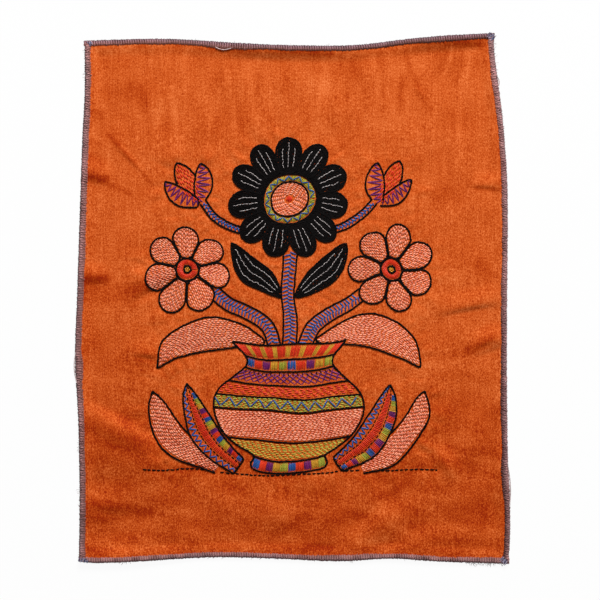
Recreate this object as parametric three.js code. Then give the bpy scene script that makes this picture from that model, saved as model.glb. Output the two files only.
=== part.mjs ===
// An embroidered panel lying on a table: one cut rectangle of soft cotton sateen, and the four runs of
// overlock stitching that bind its cut edges. The needlework on its face is thread alone and adds no
// solid. Millimetres, +Z up, +Y towards the panel's top edge. The origin is on the table, under the
// middle of the panel.
import * as THREE from "three";

// The panel's usual width and length, which turn a distance from an edge into a share of the panel.
const WIDTH = 356;
const LENGTH = 442;

// The outline is the outer line of the overlock. The panel was cut by eye, so no corner is square.
const CORNERS = {
  bottomLeft: { x: -179.5, y: -221.2 },
  bottomRight: { x: 181.3, y: -223 },
  topLeft: { x: -174.9, y: 216.3 },
  topRight: { x: 168.9, y: 222.8 },
};

// How far each side bows out from the straight line between its corners. "at" is the share of the way
// along the side, rightwards or upwards.
const BOWS = {
  bottom: [
    { at: 0, out: 0 },
    { at: 0.04, out: 0.9 },
    { at: 0.12, out: -0.1 },
    { at: 0.31, out: -4.2 },
    { at: 0.45, out: -3.5 },
    { at: 0.6, out: -1.5 },
    { at: 0.73, out: -3.8 },
    { at: 0.84, out: -1.6 },
    { at: 1, out: 0 },
  ],
  right: [
    { at: 0, out: 0 },
    { at: 0.05, out: 1.8 },
    { at: 0.12, out: 2.7 },
    { at: 0.2, out: 1.9 },
    { at: 0.42, out: 3.8 },
    { at: 0.7, out: 7.8 },
    { at: 0.83, out: 5.7 },
    { at: 0.96, out: 0.2 },
    { at: 1, out: 0 },
  ],
  top: [
    { at: 0, out: 0 },
    { at: 0.12, out: 0.6 },
    { at: 0.22, out: 0 },
    { at: 0.36, out: -4 },
    { at: 0.5, out: -7 },
    { at: 0.66, out: -7.9 },
    { at: 0.79, out: -3.6 },
    { at: 0.88, out: -1.5 },
    { at: 1, out: 0 },
  ],
  left: [
    { at: 0, out: 0 },
    { at: 0.13, out: 0.1 },
    { at: 0.27, out: 1.8 },
    { at: 0.39, out: 5.1 },
    { at: 0.51, out: 3.9 },
    { at: 0.8, out: 1 },
    { at: 0.91, out: -0.7 },
    { at: 1, out: 0 },
  ],
};

// Where the cloth stands off the table. Each fold is a soft ridge with its crest through x, y along the
// direction "turn", in degrees. It dies away at "reach" along the crest, and at "above" and "below" to
// its upper and lower side. "height" is the lift of the crest.
const FOLDS = [
  // the long crease across the lower left margin, and the slack cloth below it
  { x: -150, y: -105, turn: -26, reach: 52, above: 11, below: 18, height: 1.5 },
  { x: -140, y: -122, turn: -22, reach: 74, above: 22, below: 50, height: 2.2 },
  // dips that run in from the left edge
  { x: -167, y: 105, turn: -20, reach: 22, above: 16, below: 10, height: 1.3 },
  { x: -168, y: 19, turn: -5, reach: 20, above: 14, below: 9, height: 1.1 },
  // puckers drawn up beside the needlework on the left
  { x: -116, y: 15, turn: 28, reach: 34, above: 20, below: 11, height: 1.4 },
  { x: -120, y: -47, turn: -10, reach: 28, above: 15, below: 12, height: 1 },
  // creases that run in from the right edge
  { x: 150, y: -5, turn: 11, reach: 42, above: 16, below: 9, height: 1.5 },
  { x: 166, y: -36, turn: 20, reach: 26, above: 16, below: 10, height: 1.9 },
  { x: 165, y: 96, turn: 3, reach: 22, above: 13, below: 9, height: 1 },
  { x: 129, y: -136, turn: -58, reach: 26, above: 11, below: 14, height: 1.2 },
  // the wavy top and right edges
  { x: -10, y: 212, turn: -1, reach: 92, above: 12, below: 14, height: 1.9 },
  { x: 130, y: 219, turn: 5, reach: 46, above: 12, below: 13, height: 2 },
  { x: 180, y: -150, turn: 90, reach: 40, above: 18, below: 12, height: 1.6 },
  { x: 174, y: 178, turn: 90, reach: 30, above: 16, below: 12, height: 1.3 },
  // broad slack swells over the plain cloth at the foot
  { x: -152, y: -220, turn: 0, reach: 78, above: 26, below: 14, height: 1.9 },
  { x: -150, y: -172, turn: 8, reach: 52, above: 24, below: 18, height: 1.3 },
  { x: 72, y: -193, turn: 30, reach: 46, above: 18, below: 20, height: 1.7 },
  { x: 118, y: -206, turn: 2, reach: 50, above: 20, below: 14, height: 1.2 },
  { x: -20, y: -178, turn: -6, reach: 60, above: 24, below: 22, height: 1 },
];

const CLOTH_THICKNESS = 1;

// The overlock wraps the cut edge as a channel of thread, open towards the panel. Each run has its own
// width as seen from above.
const EDGING_WIDTHS = { bottom: 4.4, right: 4.8, top: 4.4, left: 5.2 };
const EDGING_WALL = 0.5;
const EDGING_CHAMFER = 0.6;
const CLEARANCE = 0.3;

// The cloth starts inside the channel, and comes down to the table over this distance past it.
const EDGE_INSET = EDGING_WALL + CLEARANCE;
const BOUND_ZONE = 5.5;
const EDGE_SLOPE = 9;

const MIDDLE_COLUMNS = 27;
const MIDDLE_ROWS = 34;

const { clamp, degToRad, lerp, smoothstep } = THREE.MathUtils;

// One side's bow at a share of its length, as a smooth curve through the table's rows.
function bowAt(rows, at) {
  const k = clamp(rows.findIndex((row) => row.at >= at) - 1, 0, rows.length - 2);
  const slopeAt = (n) => {
    const before = rows[Math.max(n - 1, 0)];
    const after = rows[Math.min(n + 1, rows.length - 1)];
    return (after.out - before.out) / (after.at - before.at);
  };
  const span = rows[k + 1].at - rows[k].at;
  const t = (at - rows[k].at) / span;
  const through = lerp(rows[k].out, rows[k + 1].out, smoothstep(t, 0, 1));
  return through + span * t * (1 - t) * (slopeAt(k) * (1 - t) - slopeAt(k + 1) * t);
}

// The place over the table of the point that lies u of the way across the panel and v of the way up.
function panelPoint(u, v) {
  const { bottomLeft, bottomRight, topLeft, topRight } = CORNERS;
  const bottom = new THREE.Vector2().copy(bottomLeft).lerp(bottomRight, u);
  const top = new THREE.Vector2().copy(topLeft).lerp(topRight, u);
  const place = bottom.lerp(top, v);
  place.x += u * bowAt(BOWS.right, v) - (1 - u) * bowAt(BOWS.left, v);
  place.y += v * bowAt(BOWS.top, u) - (1 - v) * bowAt(BOWS.bottom, u);
  return place;
}

// A soft hump, 1 at its middle and flat where it ends at -1 and 1.
function hump(t) {
  return Math.abs(t) < 1 ? Math.cos((Math.PI * t) / 2) ** 2 : 0;
}

// How far the folds lift the panel off the table. Across the bound edge the lift doesn't change, so
// that the stiff overlock lies level on it.
function foldLift(u, v) {
  const sideShare = BOUND_ZONE / WIDTH;
  const endShare = BOUND_ZONE / LENGTH;
  const p = panelPoint(clamp(u, sideShare, 1 - sideShare), clamp(v, endShare, 1 - endShare));
  let lift = 0;
  for (const fold of FOLDS) {
    const turn = degToRad(fold.turn);
    const dx = p.x - fold.x;
    const dy = p.y - fold.y;
    const along = dx * Math.cos(turn) + dy * Math.sin(turn);
    const across = dy * Math.cos(turn) - dx * Math.sin(turn);
    const width = across > 0 ? fold.above : fold.below;
    lift += fold.height * hump(along / fold.reach) * hump(across / width);
  }
  return lift;
}

// The underside of the cloth, which is raised near each edge by the thread under it.
function clothUnderside(u, v) {
  const fromEdge = Math.min(u * WIDTH, (1 - u) * WIDTH, v * LENGTH, (1 - v) * LENGTH);
  const raised = 1 - smoothstep(fromEdge, BOUND_ZONE, BOUND_ZONE + EDGE_SLOPE);
  return foldLift(u, v) + EDGE_INSET * raised;
}

// The shares of a side at which its pieces have vertices: close together down the slope from each
// edge, and evenly between.
function stationsAlong(length, middleCount, start) {
  const near = [start, BOUND_ZONE, BOUND_ZONE + EDGE_SLOPE / 2, BOUND_ZONE + EDGE_SLOPE];
  const first = near.map((distance) => distance / length);
  const last = first.map((share) => 1 - share).reverse();
  const middleShare = (i) => lerp(first.at(-1), last[0], (i + 1) / middleCount);
  const middle = Array.from({ length: middleCount - 1 }, (_, i) => middleShare(i));
  return [...first, ...middle, ...last];
}

// Moves every vertex of a regular block to where "place" puts it.
function reshape(geometry, place) {
  const position = geometry.getAttribute("position");
  const vertex = new THREE.Vector3();
  for (let i = 0; i < position.count; i++) {
    vertex.fromBufferAttribute(position, i);
    position.setXYZ(i, ...place(vertex));
  }
  geometry.computeVertexNormals();
  return geometry;
}

function namedMesh(name, geometry, color, roughness) {
  const mesh = new THREE.Mesh(geometry, new THREE.MeshStandardMaterial({ color, roughness, metalness: 0 }));
  mesh.name = name;
  return mesh;
}

// The ground cloth: one closed sheet on its folds.
function clothMesh() {
  const columns = stationsAlong(WIDTH, MIDDLE_COLUMNS, EDGE_INSET);
  const rows = stationsAlong(LENGTH, MIDDLE_ROWS, EDGE_INSET);
  const lastColumn = columns.length - 1;
  const lastRow = rows.length - 1;
  const block = new THREE.BoxGeometry(lastColumn, lastRow, 1, lastColumn, lastRow, 1);
  const sheet = reshape(block, ({ x, y, z }) => {
    const u = columns[Math.round(x + lastColumn / 2)];
    const v = rows[Math.round(y + lastRow / 2)];
    const p = panelPoint(u, v);
    return [p.x, p.y, clothUnderside(u, v) + (z > 0 ? CLOTH_THICKNESS : 0)];
  });
  return namedMesh("cloth", sheet, 0xd45c26, 0.7);
}

// The overlock's section: a channel over, round and under the cut edge. x is the distance in from the
// outline, and y the height over the table.
function edgingSection(width) {
  const slotTop = EDGING_WALL + CLOTH_THICKNESS + 2 * CLEARANCE;
  const height = slotTop + EDGING_WALL;
  const points = [
    [EDGING_WALL, 0],
    [width, 0],
    [width, EDGING_WALL],
    [EDGING_WALL, EDGING_WALL],
    [EDGING_WALL, slotTop],
    [width, slotTop],
    [width, height],
    [EDGING_WALL, height],
    [0, height - EDGING_CHAMFER],
    [0, EDGING_CHAMFER],
  ];
  return new THREE.Shape(points.map(([x, y]) => new THREE.Vector2(x, y)));
}

// One run of overlock, through these stations. "share" turns a station and a distance in from the
// outline into the panel's u and v, going round the panel anticlockwise.
function edgingMesh(side, stations, share) {
  const steps = stations.length - 1;
  const section = edgingSection(EDGING_WIDTHS[side]);
  const bar = new THREE.ExtrudeGeometry(section, { depth: steps, steps, bevelEnabled: false });
  const run = reshape(bar, ({ x, y, z }) => {
    const at = stations[Math.round(z)];
    const p = panelPoint(...share(at, x));
    return [p.x, p.y, foldLift(...share(at, 0)) + y];
  });
  return namedMesh(`overlock_${side}`, run, 0x8a6a6c, 0.85);
}

const panel = new THREE.Group();
panel.add(clothMesh());

// The top and bottom runs were sewn last, over the ends of the side runs, which stop short of them.
const acrossStations = stationsAlong(WIDTH, MIDDLE_COLUMNS, 0);
const sideEnd = (EDGING_WIDTHS.top + CLEARANCE) / LENGTH;
const upStations = [sideEnd, ...stationsAlong(LENGTH, MIDDLE_ROWS, 0).slice(1, -1), 1 - sideEnd];
panel.add(
  edgingMesh("bottom", acrossStations, (at, inward) => [at, inward / LENGTH]),
  edgingMesh("right", upStations, (at, inward) => [1 - inward / WIDTH, at]),
  edgingMesh("top", acrossStations, (at, inward) => [1 - at, 1 - inward / LENGTH]),
  edgingMesh("left", upStations, (at, inward) => [inward / WIDTH, 1 - at]),
);

// The outline's box is brought over the origin.
const centre = new THREE.Box3().setFromObject(panel).getCenter(new THREE.Vector3());
panel.children.forEach((mesh) => mesh.geometry.translate(-centre.x, -centre.y, 0));

export default panel;
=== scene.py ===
# An embroidered panel, lying face up on a white table: burnt-orange cotton sateen with an overlocked
# edge and hand needlework of a potted flowering plant. Tables and drawings are in millimetres.
import math

import bpy
import numpy as np
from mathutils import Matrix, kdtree


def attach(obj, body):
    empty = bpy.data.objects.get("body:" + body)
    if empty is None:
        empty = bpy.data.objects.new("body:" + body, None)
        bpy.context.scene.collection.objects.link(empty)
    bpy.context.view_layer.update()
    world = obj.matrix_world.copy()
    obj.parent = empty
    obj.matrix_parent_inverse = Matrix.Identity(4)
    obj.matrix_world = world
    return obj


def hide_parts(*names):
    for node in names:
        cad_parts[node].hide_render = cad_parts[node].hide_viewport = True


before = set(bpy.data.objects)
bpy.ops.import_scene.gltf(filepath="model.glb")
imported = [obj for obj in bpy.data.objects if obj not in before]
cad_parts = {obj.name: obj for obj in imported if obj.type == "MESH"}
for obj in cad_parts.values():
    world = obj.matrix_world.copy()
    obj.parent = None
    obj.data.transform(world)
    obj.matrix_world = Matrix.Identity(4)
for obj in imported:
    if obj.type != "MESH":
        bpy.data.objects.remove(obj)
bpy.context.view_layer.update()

# ---- Ground cloth ------------------------------------------------------------------------------------
# One rectangle of soft cotton sateen, cut by eye, so that no corner is square and every side bows. It
# lies on its back in slack folds, and its edges stand a little off the table on the thread that binds
# them.

WIDTH = 356
LENGTH = 442
CORNERS = {
    "bottom left": (-179.44, -221.1),
    "bottom right": (181.36, -222.9),
    "top left": (-174.84, 216.4),
    "top right": (168.96, 222.9),
}

# (share of the way along the side, how far it bows out there)
BOWS = {
    "bottom": [(0, 0), (0.04, 0.9), (0.12, -0.1), (0.31, -4.2), (0.45, -3.5), (0.6, -1.5), (0.73, -3.8),
               (0.84, -1.6), (1, 0)],
    "right": [(0, 0), (0.05, 1.8), (0.12, 2.7), (0.2, 1.9), (0.42, 3.8), (0.7, 7.8), (0.83, 5.7),
              (0.96, 0.2), (1, 0)],
    "top": [(0, 0), (0.12, 0.6), (0.22, 0), (0.36, -4), (0.5, -7), (0.66, -7.9), (0.79, -3.6),
            (0.88, -1.5), (1, 0)],
    "left": [(0, 0), (0.13, 0.1), (0.27, 1.8), (0.39, 5.1), (0.51, 3.9), (0.8, 1), (0.91, -0.7), (1, 0)],
}

# Each fold is a soft ridge with its crest through x, y along the direction "turn", in degrees:
# (x, y, turn, reach along the crest, reach above it, reach below it, height)
FOLDS = [
    (-150, -105, -26, 52, 11, 18, 1.5),
    (-140, -122, -22, 74, 22, 50, 2.2),
    (-167, 105, -20, 22, 16, 10, 1.3),
    (-168, 19, -5, 20, 14, 9, 1.1),
    (-116, 15, 28, 34, 20, 11, 1.4),
    (-120, -47, -10, 28, 15, 12, 1),
    (150, -5, 11, 42, 16, 9, 1.5),
    (166, -36, 20, 26, 16, 10, 1.9),
    (165, 96, 3, 22, 13, 9, 1),
    (129, -136, -58, 26, 11, 14, 1.2),
    (-10, 212, -1, 92, 12, 14, 1.9),
    (130, 219, 5, 46, 12, 13, 2),
    (180, -150, 90, 40, 18, 12, 1.6),
    (174, 178, 90, 30, 16, 12, 1.3),
    (-152, -220, 0, 78, 26, 14, 1.9),
    (-150, -172, 8, 52, 24, 18, 1.3),
    (72, -193, 30, 46, 18, 20, 1.7),
    (118, -206, 2, 50, 20, 14, 1.2),
    (-20, -178, -6, 60, 24, 22, 1),
]

# Finer creases, in the same terms, too slight for the solid. A trough has a height below 0.
CREASES = [
    (-139, 119, -48, 27, 5, 3.5, 0.55),
    (-137, 115, -48, 24, 2.5, 3, -0.3),
    (105, 88, 17, 20, 4, 5, 0.3),
    (106, 174, -50, 9, 3, 3, 0.3),
    (160, 92, -3, 16, 3, 4, -0.5),
    (148, -11, 11, 30, 4, 3, -0.5),
    (163, -40, 22, 14, 4, 3, -0.5),
    (127, -137, -58, 20, 4, 5, 0.4),
    (-118, 6, 30, 28, 5, 4, -0.45),
    (-76, 12, -38, 22, 5, 4, -0.4),
    (-121, -51, -10, 22, 4, 3, -0.4),
    (-110, -118, -24, 60, 6, 8, -0.35),
    (25, -209, 4, 14, 5, 4, -0.4),
    (-158, -180, -8, 30, 7, 7, -0.4),
]

# Strokes of painted shade along creases, folds and under the raised top edge, and of painted light on
# their lit sides above 0: from x, y, to x, y, half the width, strength.
PAINTED_SHADING_STROKES = [
    # Painted shadow under the top edge, and painted shading of the plain cloth above the drawing.
    (114, 219, 157, 214, 4, -0.9), (-69, 211, -29, 208, 3, -0.5), (-21, 209, 31, 206, 3, -0.8),
    (94, 207, 109, 168, 2, -0.35), (50, 200, 54, 182, 4, -0.3), (20, 180, 23, 142, 7, 0.3),
    (-133, 180, -125, 163, 6, -0.3), (-155, 173, -130, 173, 7, -0.3), (-56, 199, -54, 182, 3, 0.3),
    (-175, 157, -160, 155, 4, -0.4), (-155, 138, -118, 96, 1.5, -0.6), (-174, 133, -162, 130, 2, -0.4),
    # Left side.
    (-172, -40, -130, -50, 15, -0.35), (-172, -87, -138, -97, 7, -0.2), (-172, 13, -142, 5, 12, -0.45),
    (-140, -110, -129, -114, 7, -0.5),
    (-167, 116, -160, 113, 5, -0.4), (-175, 103, -158, 101, 4, -0.9), (-162, 100, -137, 88, 2.5, -0.5),
    (-177, 63, -167, 61, 2, -0.4), (-179, 15, -158, 17, 4, -0.9), (-128, 7, -90, 27, 6, -0.4),
    (-86, 12, -48, -1, 4, -0.3), (-155, 0, -120, 12, 5, -0.4), (-179, -84, -127, -114, 6, 0.3),
    # Right side.
    (147, 94, 177, 90, 2, -0.5), (124, 89, 141, 86, 7, -0.25), (157, 27, 166, 19, 6, -0.45),
    (149, -44, 167, -33, 3.5, -0.6), (120, -50, 149, -44, 3.5, -0.3), (120, -95, 142, -92, 5, -0.25),
    (166, -96, 176, -93, 4, -0.35),
    # The lower third.
    (-180, -105, -120, -134, 9, -0.4), (122, -116, 139, -154, 2, 0.35), (-96, -142, -46, -144, 3.5, -0.3),
    (21, -146, 50, -137, 6, 0.25), (-48, -159, -26, -169, 3.5, -0.3), (105, -142, 88, -161, 5, -0.4),
    (88, -161, 67, -168, 4, -0.4), (-179, -173, -120, -178, 4, -0.5), (77, -176, 92, -191, 6, 0.35),
    (129, -176, 159, -173, 6, -0.4), (-175, -186, -128, -183, 3.5, -0.4), (31, -188, 58, -181, 5, -0.5),
    (-17, -200, 10, -184, 5, -0.4), (13, -208, 33, -210, 3, -0.8), (105, -208, 136, -201, 6, -0.4),
    (62, -210, 82, -206, 3.5, -0.4), (57, -203, 75, -204, 7, 0.5),
]

BOUND_ZONE = 5.5
EDGE_SLOPE = 9
EDGE_INSET = 0.8
EDGE_HEIGHT = 0.95
SHEET_THICKNESS = 0.55
THREADS_ABOVE_TABLE = 0.04
BACK_OF_WORK = 0.26
# Columns and rows of the face. The back has half as many, so both are even.
COLUMNS = 230
ROWS = 286


def bow(rows, at):
    """How far a side bows out at a share of its length, on a smooth curve through its rows."""
    places, outs = np.array(rows, float).T
    before = np.maximum(np.arange(len(places)) - 1, 0)
    after = np.minimum(np.arange(len(places)) + 1, len(places) - 1)
    slopes = (outs[after] - outs[before]) / (places[after] - places[before])
    k = np.clip(np.searchsorted(places, at) - 1, 0, len(places) - 2)
    span = places[k + 1] - places[k]
    t = (at - places[k]) / span
    through = outs[k] + (outs[k + 1] - outs[k]) * t * t * (3 - 2 * t)
    return through + span * t * (1 - t) * (slopes[k] * (1 - t) - slopes[k + 1] * t)


def panel_point(u, v):
    """The place on the table of the point that lies u of the way across the panel and v of the way up."""
    u, v = np.broadcast_arrays(np.asarray(u, float), np.asarray(v, float))
    corner = {name: np.array(place) for name, place in CORNERS.items()}
    across = u[..., None]
    low = corner["bottom left"] * (1 - across) + corner["bottom right"] * across
    high = corner["top left"] * (1 - across) + corner["top right"] * across
    place = low * (1 - v[..., None]) + high * v[..., None]
    place[..., 0] += u * bow(BOWS["right"], v) - (1 - u) * bow(BOWS["left"], v)
    place[..., 1] += v * bow(BOWS["top"], u) - (1 - v) * bow(BOWS["bottom"], u)
    return place


def ridges(rows, x, y):
    """The height at x, y of all the soft ridges and troughs in a table."""
    height = np.zeros(np.shape(x))
    for at_x, at_y, turn, reach, above, below, crest in rows:
        angle = math.radians(turn)
        along = (x - at_x) * math.cos(angle) + (y - at_y) * math.sin(angle)
        across = (y - at_y) * math.cos(angle) - (x - at_x) * math.sin(angle)
        along = np.clip(along / reach, -1, 1)
        across = np.clip(across / np.where(across > 0, above, below), -1, 1)
        height += crest * (np.cos(np.pi * along / 2) * np.cos(np.pi * across / 2)) ** 2
    return height


def drift(x, y, size, seed, waves=14):
    """Slow unevenness between about -1 and 1, of many waves about "size" long in all directions."""
    dice = np.random.default_rng(seed)
    total = np.zeros(np.shape(x))
    for _ in range(waves):
        angle = dice.uniform(0, 2 * math.pi)
        pace = 2 * math.pi / (size * dice.uniform(0.7, 1.5))
        total += np.sin(pace * (x * math.cos(angle) + y * math.sin(angle)) + dice.uniform(0, 2 * math.pi))
    return total / math.sqrt(waves)


def ramp(value, start, end):
    """0 up to "start" and 1 from "end", with a soft passage between them."""
    t = np.clip((value - start) / (end - start), 0, 1)
    return t * t * (3 - 2 * t)


def lie_of_cloth(x, y):
    """The height over the table of the cloth's underside, away from the bound edges.

    The threads on the back of the needlework lift the middle a little.
    """
    from_middle = ((x / 155) ** 4 + (y / 190) ** 4) ** 0.25
    back_of_work = BACK_OF_WORK * (1 - ramp(from_middle, 0.95, 1.1))
    slack = 0.2 + 0.16 * drift(x, y, 46, 3) * (1 + ramp(-y, 60, 170))
    warp_waves = 0.07 * np.sin(2 * math.pi * (x + 5 * drift(x, y, 150, 7)) / 16.5)
    warp_waves *= 0.4 + 0.6 * ramp(y, 60, 150)
    height = ridges(FOLDS, x, y) + ridges(CREASES, x, y) + slack + warp_waves
    landing = 9
    return THREADS_ABOVE_TABLE + back_of_work + np.logaddexp(0, height * landing) / landing


def painted_shade_and_mottle(x, y):
    """How light the cloth is painted at x, y: painted shade and light of its folds, and mottled tone."""
    light = np.zeros(np.shape(x))
    for from_x, from_y, to_x, to_y, width, strength in PAINTED_SHADING_STROKES:
        run_x, run_y = to_x - from_x, to_y - from_y
        along = ((x - from_x) * run_x + (y - from_y) * run_y) / (run_x ** 2 + run_y ** 2)
        along = np.clip(along, 0, 1)
        away = np.hypot(x - from_x - along * run_x, y - from_y - along * run_y) / (1.7 * width)
        light += strength * np.clip(1 - away ** 2, 0, 1) ** 2
    upper, lower = ramp(y, 90, 160), ramp(-y, 30, 130)
    spread = x / (1 + 0.0016 * (y + 40)) + 5 * drift(x, y, 70, 8)
    # Upright streaks that fan out: painted shading of fine soft folds, stronger high up.
    painted_fold_streaks = np.sin(2 * math.pi * spread / 15) + 0.6 * np.sin(2 * math.pi * spread / 8.3 + 1)
    light += painted_fold_streaks * (0.03 + 0.06 * upper) * (1 + drift(x, y, 60, 11))
    # Broad mottling: uneven tone of the cloth.
    light += 0.07 * drift(x, y, 24, 9) * (1 + 0.5 * lower) + 0.07 * drift(x, y, 58, 12)
    slant = y + 0.2 * x
    # The lower third is darker and more mottled.
    return light + 0.16 * lower * drift(x * 0.3, slant, 13, 13) - 0.42 * lower


def cloth_underside(u, v):
    """The height of the cloth's underside: free inside, and held up by the binding at its edges."""
    side_share = BOUND_ZONE / WIDTH
    end_share = BOUND_ZONE / LENGTH
    bound = panel_point(np.clip(u, side_share, 1 - side_share), np.clip(v, end_share, 1 - end_share))
    from_edge = np.minimum(np.minimum(u, 1 - u) * WIDTH, np.minimum(v, 1 - v) * LENGTH)
    free = ramp(from_edge, BOUND_ZONE, BOUND_ZONE + EDGE_SLOPE)
    lift = ridges(FOLDS, bound[..., 0], bound[..., 1])
    middle = lie_of_cloth(bound[..., 0], bound[..., 1])
    return middle * free + (lift + EDGE_HEIGHT) * (1 - free)


def mesh_object(name, places, edges=(), faces=(), numbers=None):
    """An object whose mesh has these places, in millimetres, and named numbers for each of them."""
    mesh = bpy.data.meshes.new(name)
    mesh.from_pydata((np.asarray(places) / 1000).tolist(), edges, faces)
    for key, values in (numbers or {}).items():
        mesh.attributes.new(key, "FLOAT", "POINT").data.foreach_set("value", np.asarray(values, np.float32))
    mesh.update()
    piece = bpy.data.objects.new(name, mesh)
    bpy.context.scene.collection.objects.link(piece)
    return piece


def quads_of(number):
    """The quads of a grid of numbered places, facing up."""
    return np.stack([number[:-1, :-1], number[:-1, 1:], number[1:, 1:], number[1:, :-1]], -1).reshape(-1, 4)


def rim_of(number):
    """The numbers round the rim of a grid."""
    return np.concatenate([number[0, :-1], number[:-1, -1], number[-1, :0:-1], number[:0:-1, 0]])


def cloth_sheet():
    """The sheet as one closed skin: its face, its plainer back and the thin cut edge between them."""
    u = np.linspace(EDGE_INSET / WIDTH, 1 - EDGE_INSET / WIDTH, COLUMNS + 1)
    v = np.linspace(EDGE_INSET / LENGTH, 1 - EDGE_INSET / LENGTH, ROWS + 1)
    u, v = np.meshgrid(u, v)
    flat = panel_point(u, v)
    under = cloth_underside(u, v)
    face = np.dstack([flat, under + SHEET_THICKNESS])
    back = np.dstack([flat, under])[::2, ::2]
    face_number = np.arange(u.size).reshape(u.shape)
    back_number = u.size + np.arange(back[..., 0].size).reshape(back[..., 0].shape)
    face_rim, back_rim = rim_of(face_number), rim_of(back_number)
    next_face, next_back = np.roll(face_rim, -2)[::2], np.roll(back_rim, -1)
    edge = np.column_stack([face_rim[::2], back_rim, next_back, next_face, face_rim[1::2]])
    faces = quads_of(face_number).tolist() + quads_of(back_number)[:, ::-1].tolist() + edge.tolist()
    places = np.vstack([face.reshape(-1, 3), back.reshape(-1, 3)])
    # Each place carries its painted shade and light, and its mottled tone.
    numbers = {"painted_light_and_mottle": painted_shade_and_mottle(places[:, 0], places[:, 1])}
    piece = mesh_object("ground_cloth", places, faces=faces, numbers=numbers)
    piece.data.shade_smooth()
    return piece


def linear(red, green, blue):
    """A dye as a linear colour, from its strength on a screen, 0 to 255."""
    levels = np.array([red, green, blue]) / 255
    return tuple(np.where(levels > 0.04045, ((levels + 0.055) / 1.055) ** 2.4, levels / 12.92)) + (1,)


class Value:
    """A node's output. Sums and products of it add Math nodes to its tree."""

    def __init__(self, tree, socket):
        self.tree = tree
        self.socket = socket

    def maths(self, operation, *terms):
        """A Math node of this value's tree, fed with these terms."""
        node = self.tree.nodes.new("ShaderNodeMath")
        node.operation = operation
        for entry, term in zip(node.inputs, terms):
            if isinstance(term, Value):
                self.tree.links.new(term.socket, entry)
            else:
                entry.default_value = term
        return Value(self.tree, node.outputs[0])

    def __add__(self, other):
        return self.maths("ADD", self, other)

    def __radd__(self, other):
        return self.maths("ADD", other, self)

    def __sub__(self, other):
        return self.maths("SUBTRACT", self, other)

    def __rsub__(self, other):
        return self.maths("SUBTRACT", other, self)

    def __mul__(self, other):
        return self.maths("MULTIPLY", self, other)

    def __truediv__(self, other):
        return self.maths("DIVIDE", self, other)

    def __pow__(self, other):
        return self.maths("POWER", self, other)

    def held(self):
        """The same value, kept from 0 to 1."""
        return self.maths("MAXIMUM", self.maths("MINIMUM", self, 1.0), 0.0)


class Bench:
    """A node tree to work on."""

    def __init__(self, tree):
        self.tree = tree

    def add(self, kind, settings=None, sockets=None, out=0):
        """Adds a node, with its settings first and then its sockets' values or links."""
        node = self.tree.nodes.new(kind)
        for name, setting in (settings or {}).items():
            setattr(node, name, setting)
        for name, given in (sockets or {}).items():
            if isinstance(given, Value):
                self.tree.links.new(given.socket, node.inputs[name])
            else:
                node.inputs[name].default_value = given
        return Value(self.tree, node.outputs[out]) if len(node.outputs) else node

    def mixed(self, share, first, second):
        """Two colours, mixed by a share."""
        return self.add("ShaderNodeMix", {"data_type": "RGBA"}, {0: share, 6: first, 7: second}, out=2)

    def noise(self, place, size, detail=2.0, roughness=0.5):
        """Noise from 0 to 1 with lumps of this size in metres."""
        sockets = {"Vector": place, "Scale": 1 / size, "Detail": detail, "Roughness": roughness}
        return self.add("ShaderNodeTexNoise", None, sockets)


def new_finish(name, values):
    """A new material with these values on its shader, and the bench to add its pattern on."""
    material = bpy.data.materials.new(name)
    material.use_nodes = True
    bench = Bench(material.node_tree)
    shader = material.node_tree.nodes["Principled BSDF"]
    for socket, value in values.items():
        shader.inputs[socket].default_value = value
    return material, bench, shader


def wire(bench, value, shader, socket):
    """Feeds a value to a shader."""
    bench.tree.links.new(value.socket, shader.inputs[socket])


def roughen(bench, shader, height, strength, distance):
    """Gives a shader the small bumps of this pattern, up to a distance in metres."""
    sockets = {"Strength": strength, "Distance": distance, "Height": height}
    wire(bench, bench.add("ShaderNodeBump", None, sockets), shader, "Normal")


def attribute(bench, name):
    """A number that the piece's mesh carries."""
    return bench.add("ShaderNodeAttribute", {"attribute_name": name}, out="Fac")


def colour_ramp(bench, share, colours):
    """A colour from evenly spaced stops, by a share."""
    found = bench.add("ShaderNodeValToRGB", None, {"Fac": share})
    stops = found.socket.node.color_ramp.elements
    while len(stops) < len(colours):
        stops.new(0.5)
    for number, colour in enumerate(colours):
        stops[number].position = number / (len(colours) - 1)
        stops[number].color = colour
    return found


def place_part(bench, place, axis):
    """One coordinate of a place."""
    return bench.add("ShaderNodeSeparateXYZ", None, {0: place}, out=axis)


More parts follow.
